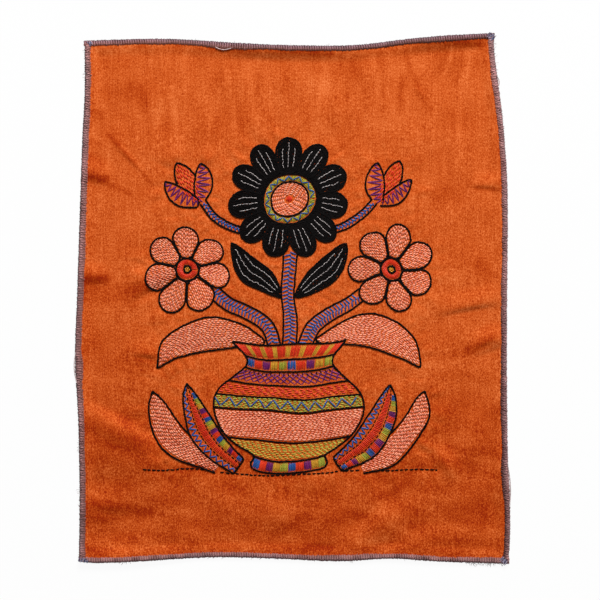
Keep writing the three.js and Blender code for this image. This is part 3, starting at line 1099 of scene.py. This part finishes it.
def sew(name, slot, stitches, width, crown=0.3, plumpness=0.62, height=0.0):
    """Sews stitches, given by their ends in the drawing, as one piece in the floss of this slot."""
    stitches = np.vstack(stitches)
    for share in (0.15, 0.5, 0.85):
        spots = stitches[:, :2] * (1 - share) + stitches[:, 2:] * share
        stitches = stitches[~under_work(spots)]
    dice = np.random.default_rng(len(name) * 97 + len(stitches))
    ends = by_hand(stitches.reshape(-1, 2)) + dice.normal(0, 0.1, (2 * len(stitches), 2))
    behind = ends[1:-1]
    apart = np.linalg.norm(behind[0::2] - behind[1::2], axis=1)
    behind = behind[np.repeat((apart > SHORTEST_BACK) & (apart < LONGEST_BACK), 2)]
    face_places = halfway(ends)
    back_places = halfway(behind)
    level = np.concatenate([
        lie_of_cloth(*face_places.T) + SHEET_THICKNESS - FACE_SINK + height,
        lie_of_cloth(*back_places.T) - BACK_STANDS_OFF,
    ])
    places = np.column_stack([np.vstack([face_places, back_places]), level])
    first = np.arange(0, len(level), 3)
    links = np.vstack([np.column_stack([first, first + 1]), np.column_stack([first + 1, first + 2])])
    numbers = {
        "shade": np.repeat(dice.uniform(0, 1, len(first)), 3),
        "back": np.repeat([0, 1], [len(face_places), len(back_places)]),
    }
    piece = grown(mesh_object(name, places, links.tolist(), numbers=numbers), hand_stitches, {
        "Width": width / 1000,
        "Crown": crown / 1000,
        "Plumpness": plumpness,
        "Finish": flosses[slot],
    })
    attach(piece, "root")
    stitched.append(face_places)


def outline(name, paths):
    """Works the parts of these lines that no work covers in black stem stitch."""
    sew(name, "black_floss", [stem_stitches(path) for path in in_view(paths)], 1.6, height=0.1)


# ---- Crown flower ------------------------------------------------------------------------------------
# The large flower at the top: a salmon heart in rings of running stitch, a lime ring crossed by a blue
# zigzag, and black petals filled solid, each with grey veins couched on it.

CROWN = (-3, 84)
CROWN_PETALS = 11

# Solid filling: the distance between its rows, and the length of a stitch with its overlap on the next.
SOLID_ROWS = 1.1
SOLID_STEP = (4.4, -0.9)

# Width, crown, plumpness and height of these stitches.
SOLID_STITCH = (1.55, 0.2, 0.55, 0.12)
SALMON_STITCH = (1.42, 0.25, 0.52, 0.0)
VEIN_STITCH = (0.62, 0.3, 0.8, 0.5)


def ring_path(centre, radius):
    """A circle round a centre."""
    count = max(int(radius * math.radians(360) / 0.5), 12)
    angle = np.radians(np.linspace(0, 360, count))
    return np.array(centre) + radius * np.column_stack([np.cos(angle), np.sin(angle)])


def round_band(centre, inner, outer):
    """The ring between two radii, as a strip once round its centre."""
    half = (outer - inner) / 2
    return Shape(ring_path(centre, (inner + outer) / 2)[:-1], [(0, half), (1, half)])


def petals_round(centre, count, inner, outer, half, turn):
    """Petals from one radius to another, side by side round a centre."""
    petals = []
    for n in range(count):
        ahead = heading(turn + 360 * n / count)
        ends = [np.array(centre) + ahead * r for r in (inner, (inner + outer) / 2, outer)]
        profile = [(0, inner * math.pi / count)]
        for share, wide in ((0.3, 0.92), (0.6, 1), (0.84, 0.76), (0.95, 0.42), (1, 0)):
            room = (inner + share * (outer - inner)) * math.pi / count
            profile.append((share, min(half * wide, room)))
        petals.append(Shape(ends, profile))
    return petals


def vein(shape, start, stop, share):
    """Small running stitches on a slightly wavy line along a shape, at a share of its half width."""
    swing, wave = 0.35, 5.0
    far = np.arange(start, stop, 0.5)
    line = shape.place(far, shape.half(far) * share + swing * np.sin(far * 2 * math.pi / wave))
    return running(line, 2.6, 0.1)


def fill_salmon(name, shapes):
    """Fills shapes with close, plump rows of short running stitches."""
    stitches = [bricked(rows_in(shape, 1.45, 1.35), 2.9, 0.65, 0.2 * n) for n, shape in enumerate(shapes)]
    sew(name, "salmon_floss", stitches, *SALMON_STITCH)


def fill_black(name, shapes):
    """Fills shapes solid with rows of overlapping stitches."""
    stitches = [bricked(rows_in(shape, SOLID_ROWS, 0.5), *SOLID_STEP) for shape in shapes]
    sew(name, "black_floss", stitches, *SOLID_STITCH)


crown_petals = petals_round(CROWN, CROWN_PETALS, 23, 52, 10.7, 90)
fill_black("crown_petals", crown_petals)
collar_rings = [running(ring_path(CROWN, r), *SOLID_STEP, r) for r in np.arange(23, 29, SOLID_ROWS)]
sew("crown_collar", "black_floss", collar_rings, *SOLID_STITCH)
outline("crown_petal_edges", [petal.border() for petal in crown_petals])
crown_veins = [
    vein(petal, 4.5, 29 * reach, share)
    for petal in crown_petals
    for share, reach in ((-0.48, 0.72), (0, 0.86), (0.48, 0.72))
]
sew("crown_veins", "grey_floss", crown_veins, *VEIN_STITCH)
for petal in crown_petals:
    cover(petal.border())

crown_ring = round_band(CROWN, 15.5, 22)
sew("crown_ring", "lime_floss", [satin(crown_ring, 0, crown_ring.length, 1.15, 0.9, 0.5)], 1.05)
sew("crown_zigzag", "blue_floss", [zigzag(crown_ring, 8.4, 1.4)], 1.2, 0.35, 0.6, 0.3)
outline("crown_rings", [ring_path(CROWN, 15.5), ring_path(CROWN, 22.2)])
crown_heart = [running(ring_path(CROWN, radius), 2.9, 0.7, radius) for radius in np.arange(5.0, 14.4, 1.52)]
sew("crown_heart", "salmon_floss", crown_heart, *SALMON_STITCH)
crown_eye_line = [(CROWN[0] - 3.6, CROWN[1]), CROWN, (CROWN[0] + 3.6, CROWN[1])]
crown_eye = Shape(crown_eye_line, [(0, 0), (0.5, 3.6), (1, 0)])
sew("crown_eye", "red_floss", [satin(crown_eye, 0.6, 7, 1.0, 0.2)], 1.1)
cover(ring_path(CROWN, 22.5))

# ---- Side flowers ------------------------------------------------------------------------------------
# Two flowers of seven petals, in rows of salmon running stitch that the cloth shows between, with a
# heart of red satin stitch round an ochre eye.

SIDE_FLOWERS = {"left": (-89, 24), "right": (83, 25)}

for side, centre in SIDE_FLOWERS.items():
    petals = petals_round(centre, 7, 9.5, 37, 11.3, 90 if side == "left" else 78)
    fill_salmon(f"{side}_flower_petals", petals)
    outline(f"{side}_flower_edges", [petal.border() for petal in petals])
    for petal in petals:
        cover(petal.border())
    heart = round_band(centre, 3.4, 9)
    sew(f"{side}_flower_heart", "red_floss", [satin(heart, 0, heart.length, 0.95, 0.5)], 1.0)
    outline(f"{side}_flower_rings", [ring_path(centre, 9.4), ring_path(centre, 3.4)])
    sew(f"{side}_flower_eye", "ochre_floss",
        [running(ring_path(centre, radius), 1.6, 0.1) for radius in (0.7, 1.9)], 1.1)
    cover(ring_path(centre, 9.8))

# ---- Pot ---------------------------------------------------------------------------------------------
# A round-bellied pot in bands, each in another stitch, with black lines between them.

POT_X = -3
POT_SAG = 4.5
POT_PROFILE = curve_through([
    (-142, 31), (-137, 33), (-132, 29), (-124, 42), (-112, 56), (-96, 63), (-80, 60), (-66, 47), (-55, 37),
    (-47, 38), (-38, 46), (-34, 48),
])


def pot_half(level):
    """Half the pot's width at a height of the drawing."""
    return np.interp(level, POT_PROFILE[:, 0], POT_PROFILE[:, 1])


class PotBand:
    """A band round the pot between two heights, sagging as it goes round the front."""

    def __init__(self, low, high):
        self.middle = (low + high) / 2
        self.tall = (high - low) / 2
        self.length = 2 * pot_half(self.middle)

    def half(self, far):
        return np.full(np.shape(far), self.tall)

    def place(self, far, across):
        share = 2 * np.asarray(far) / self.length - 1
        level = self.middle + across + np.zeros(np.shape(share))
        return np.column_stack([POT_X + share * pot_half(level), level - POT_SAG * (1 - share**2)])


def pot_line(level):
    """A line round the pot."""
    band = PotBand(level, level)
    return band.place(np.linspace(0, band.length, 200), 0)


BLOCK_DYES = ["blue", "red", "purple", "ochre", "lime"]


def blocks_round(name, band, margin):
    """Works a band in blocks of satin stitch, each dye twice."""
    block = band.length / 10
    for n, dye in enumerate(BLOCK_DYES):
        starts = np.arange(n * block, band.length - 1, 5 * block)
        stitches = [satin(band, start + 0.8, start + block - 0.2, 1.05, margin) for start in starts]
        sew(f"{name}_{dye}", f"{dye}_floss", stitches, 1.2)


foot = PotBand(-142, -132)
blocks_round("pot_foot", foot, 1.1)

belly = PotBand(-132, -116)
for shift, dye in enumerate(["ochre", "lime"]):
    rows = rows_in(belly, 1.45, 1.3)[shift::2]
    sew(f"pot_belly_{dye}", f"{dye}_floss", [bricked(rows, 3.4, 0.8, 0.25 * shift)], 1.2, 0.2, 0.5)

middle_band = PotBand(-116, -91)
fill_salmon("pot_salmon", [middle_band])

lime_band = PotBand(-91, -80)
sew("pot_lime", "lime_floss", [bricked(rows_in(lime_band, 1.35, 1.3), 3.6, 0.5)], 1.15)
sew("pot_lime_zigzag", "blue_floss", [zigzag(lime_band, 12, 1.8)], 1.3, 0.4, 0.6, 0.3)

red_band = PotBand(-80, -69)
sew("pot_red", "red_floss", [bricked(rows_in(red_band, 1.5, 1.3), 4.2, 1.8)], 1.15)

neck_band = PotBand(-69, -57)
sew("pot_lattice", "purple_floss", [lattice(neck_band, 5.4, 1.5, 10.8)], 1.25, 0.3, 0.6)
far = np.arange(3, neck_band.length, 4.2)
ticks = [np.hstack([neck_band.place(far, 4.8), neck_band.place(far, 2.4)])]
sew("pot_ticks", "black_floss", ticks, 0.8, 0.3, 0.6, 0.3)

collar = PotBand(-57, -47)
blocks_round("pot_collar", collar, 1.2)

rim = PotBand(-47, -35)
for name, slot, first, wide, spare in (
        ("pot_rim", "red_floss", 1.5, 6.5, 5), ("pot_rim_ochre", "ochre_floss", 8.6, 3.4, 3)):
    starts = np.arange(first, rim.length - spare, 11)
    sew(name, slot, [satin(rim, start, start + wide, 1.05, 1.3) for start in starts], 1.05)

pot_levels = np.linspace(-142, -35, 220)
pot_right = np.column_stack([POT_X + pot_half(pot_levels), pot_levels])
pot_left = np.column_stack([POT_X - pot_half(pot_levels), pot_levels])
outline("pot_edges", [pot_left, pot_right] + [
    pot_line(level) for level in (-142, -132, -116, -91, -80, -69, -57, -47, -35)
])
cover(np.vstack([pot_left, pot_line(-35), pot_right[::-1], pot_line(-142)[::-1], pot_left[:1]]))

# ---- Stems -------------------------------------------------------------------------------------------
# Blue feather stitch between two black lines, from the pot's mouth to each flower, and from the crown
# flower to each bud.

STEMS = {
    "middle": [(-3, -44), (-2, -16), (-4, 8), (-3, 40)],
    "left": [(-14, -44), (-21, -24), (-38, -12), (-56, -4), (-72, 8)],
    "right": [(8, -44), (16, -24), (32, -11), (50, -3), (67, 9)],
    "left_bud": [(-34, 56), (-50, 60), (-66, 70), (-76, 82)],
    "right_bud": [(28, 57), (44, 61), (59, 71), (69, 83)],
}

for name, points in STEMS.items():
    half = 2.8 if "bud" in name else 5.4
    stem = Shape(points, [(0, half), (1, half)])
    sew(f"{name}_stem", "blue_floss", [feather(stem, 3.1, 0.8)], 1.4, 0.3, 0.6)
    outline(f"{name}_stem_edges", stem.sides())
    cover(stem.border())

# ---- Buds --------------------------------------------------------------------------------------------
# Two tulip buds, of three petals each: a red one, between two that are crossed by a purple zigzag.

BUDS = {"left": ((-79, 80), 118), "right": ((72, 81), 62)}

for side, (foot_of_bud, turn) in BUDS.items():
    ahead, aside = heading(turn), heading(turn + 90)
    base = np.array(foot_of_bud)
    middle_halves = [(0, 4), (0.35, 8), (0.7, 7), (0.9, 3.4), (1, 0)]
    middle = Shape([base, base + ahead * 18, base + ahead * 40], middle_halves)
    sew(f"{side}_bud_middle", "red_floss", [bricked(rows_in(middle, 1.5, 1.4), 4.2, 1.2)], 1.15)
    for letter, sign in (("a", 1), ("b", -1)):
        outer = Shape(
            [base, base + ahead * 12 + aside * sign * 11, base + ahead * 30 + aside * sign * 17],
            [(0, 3), (0.4, 7.4), (0.75, 5.4), (1, 0)],
        )
        sew(f"{side}_bud_petal_{letter}", "purple_floss",
            [zigzag(Strip(outer, -0.9, 0.9), 4.4, 0.6)], 1.25, 0.3, 0.6)
        outline(f"{side}_bud_edge_{letter}", [outer.border()])
        cover(outer.border())
    outline(f"{side}_bud_edge", [middle.border()])
    cover(middle.border())

# ---- Leaves ------------------------------------------------------------------------------------------
# Broad black leaves, filled solid along their length, with wavy grey veins.

LEAVES = {
    "left": [(-9, 2), (-24, 16), (-38, 26), (-52, 48)],
    "right": [(3, 2), (18, 15), (32, 26), (46, 48)],
}
LEAF_HALVES = [(0, 1.5), (0.25, 8), (0.55, 10.4), (0.82, 6), (1, 0)]

for name, points in LEAVES.items():
    leaf = Shape(points, LEAF_HALVES)
    fill_black(f"{name}_leaf", [leaf])
    outline(f"{name}_leaf_edge", [leaf.border()])
    veins = [vein(leaf, leaf.length * 0.12, leaf.length * reach, share)
             for share, reach in ((-0.55, 0.78), (0, 0.9), (0.55, 0.78))]
    sew(f"{name}_leaf_veins", "grey_floss", veins, *VEIN_STITCH)
    cover(leaf.border())

# ---- Drooping leaves ---------------------------------------------------------------------------------
# Two long leaves that fall from the pot's mouth, in rows of salmon running stitch with a black outline.

DROOPING = {
    "left": [(-24, -36), (-48, -30), (-74, -30), (-100, -42), (-114, -60)],
    "right": [(18, -36), (42, -29), (68, -28), (94, -40), (109, -58)],
}

for side, points in DROOPING.items():
    leaf = Shape(points, [(0, 2), (0.25, 10.5), (0.5, 14), (0.78, 10.5), (1, 0)])
    fill_salmon(f"{side}_drooping_leaf", [leaf])
    outline(f"{side}_drooping_edge", [leaf.border()])
    cover(leaf.border())

# ---- Blades ------------------------------------------------------------------------------------------
# Two tall blades that fan out from the ground on each side of the pot. The outer one is filled in
# salmon. The inner one has three strips: blue zigzag, red satin stitch, and blocks of all the colours.

BLADES = {
    "left_inner": [(-46, -140), (-66, -124), (-80, -102), (-88, -70)],
    "left_outer": [(-62, -140), (-90, -126), (-108, -106), (-118, -76)],
    "right_inner": [(39, -140), (60, -124), (74, -102), (82, -70)],
    "right_outer": [(56, -140), (84, -126), (102, -106), (112, -76)],
}
BLADE_HALVES = [(0, 7.5), (0.3, 11), (0.6, 11), (0.85, 7), (1, 0)]
# Where an inner blade is divided into strips, as shares of its half width.
BLADE_CUTS = (0.36, -0.28)

for name, points in BLADES.items():
    blade = Shape(points, BLADE_HALVES)
    if "outer" in name:
        fill_salmon(f"{name}_salmon", [blade])
    else:
        outer_cut, inner_cut = BLADE_CUTS
        outer_strip = Strip(blade, outer_cut, 1)
        middle_strip = Strip(blade, inner_cut, outer_cut)
        inner_strip = Strip(blade, -1, inner_cut)
        sew(f"{name}_zigzag", "blue_floss", [zigzag(outer_strip, 5.4, 1.0)], 1.3, 0.3, 0.6)
        sew(f"{name}_dashes", "red_floss", [satin(middle_strip, 2, blade.length * 0.9, 1.3, 0.5)], 1.0)
        for n, dye in enumerate(BLOCK_DYES):
            starts = np.arange(2 + n * 4.6, blade.length * 0.86, 23)
            blocks = [satin(inner_strip, start, start + 4.2, 1.05, 0.7) for start in starts]
            sew(f"{name}_{dye}", f"{dye}_floss", blocks, 1.15)
        far = np.arange(0, blade.length, 0.5)
        lines = [blade.place(far, blade.half(far) * cut) for cut in BLADE_CUTS]
        sew(f"{name}_lines", "black_floss", [running(line, 2.8, 0.7) for line in lines], 1.0)
    outline(f"{name}_edges", [blade.border()])
    cover(blade.border())

# ---- Ground line -------------------------------------------------------------------------------------
# A line of black running stitch along the foot of the drawing.

GROUND_LINE = [(-127, -143), (-90, -144), (-50, -146), (-3, -148), (40, -146), (80, -143), (121, -143)]

ground = curve_through(GROUND_LINE)
sew("ground_line", "black_floss", [running(ground, 3.4, 0.7)], 1.35)

# ---- Puckers -----------------------------------------------------------------------------------------
# Each tight stitch draws the cloth towards it, so that the plain cloth stands in small puckers which run
# out from the edge of the drawing and die away.

PUCKER_HEIGHT = 0.42
PUCKER_DIP = -0.2
PUCKER_START = 1.3
PUCKER_REACH = 4.5
PUCKER_END = 30


def pucker(x, y):
    """How high the pucker stands that starts at this stitch, 0 to about 1."""
    return 0.35 + float(drift(np.array(x), np.array(y), 9, 31))


def draw_up(sheet):
    """Raises the sheet in puckers round the stitches."""
    worked = np.vstack(stitched)
    finder = kdtree.KDTree(len(worked))
    for number, (x, y) in enumerate(worked):
        finder.insert((x, y, 0), number)
    finder.balance()
    places = np.empty(len(sheet.data.vertices) * 3, np.float32)
    sheet.data.vertices.foreach_get("co", places)
    places = places.reshape(-1, 3)
    for number, (x, y, _) in enumerate(places * 1000):
        near = finder.find_n((x, y, 0), 5)
        away = near[0][2]
        if PUCKER_START < away < PUCKER_END:
            from_x = np.mean([hit[0][0] for hit in near])
            from_y = np.mean([hit[0][1] for hit in near])
            swell = (away - PUCKER_START) / PUCKER_REACH * math.exp(1 - away / PUCKER_REACH)
            places[number, 2] += max(PUCKER_HEIGHT * swell * pucker(from_x, from_y), PUCKER_DIP) / 1000
    places[:, 2] = np.maximum(places[:, 2], THREADS_ABOVE_TABLE / 1000)
    sheet.data.vertices.foreach_set("co", places.ravel())
    sheet.data.update()


draw_up(cloth)

# ---- Table, light and camera -------------------------------------------------------------------------
# A white table under soft light from a window beyond the panel's top edge, seen from straight above.

table_corners = [(-3000, -3000, 0), (3000, -3000, 0), (3000, 3000, 0), (-3000, 3000, 0)]
table = mesh_object("table", table_corners, faces=[[0, 1, 2, 3]])
white, bench, shader = new_finish("white_table", {"Base Color": (0.9, 0.9, 0.9, 1), "Roughness": 0.9})
glow = bench.add("ShaderNodeEmission", None, {"Color": (1, 1, 1, 1), "Strength": 1.0})
seen = bench.add("ShaderNodeLightPath", out="Is Camera Ray")
lit = Value(white.node_tree, shader.outputs[0])
both = bench.add("ShaderNodeMixShader", None, {0: seen * 0.94, 1: lit, 2: glow})
bench.tree.links.new(both.socket, white.node_tree.nodes["Material Output"].inputs["Surface"])
table.data.materials.append(white)

world = bpy.data.worlds.new("room")
world.use_nodes = True
background = world.node_tree.nodes["Background"]
background.inputs["Color"].default_value = (1, 1, 1, 1)
background.inputs["Strength"].default_value = 0.24
bpy.context.scene.world = world

window = bpy.data.lights.new("window", "AREA")
window.shape = "RECTANGLE"
window.size = 2.2
window.size_y = 1.23
window.energy = 361
lamp = bpy.data.objects.new("window", window)
lamp.location = (0.66, 4.16, 2.19)
lamp.rotation_euler = (math.radians(-62.5), 0, math.radians(-9))
bpy.context.scene.collection.objects.link(lamp)

camera_data = bpy.data.cameras.new("camera")
camera_data.lens = 214.3
camera_data.sensor_width = 36
camera_data.clip_end = 20
camera = bpy.data.objects.new("camera", camera_data)
camera.location = (0.0062, -0.0013, 3.0)
bpy.context.scene.collection.objects.link(camera)
bpy.context.scene.camera = camera
bpy.context.scene.view_settings.view_transform = "Standard"
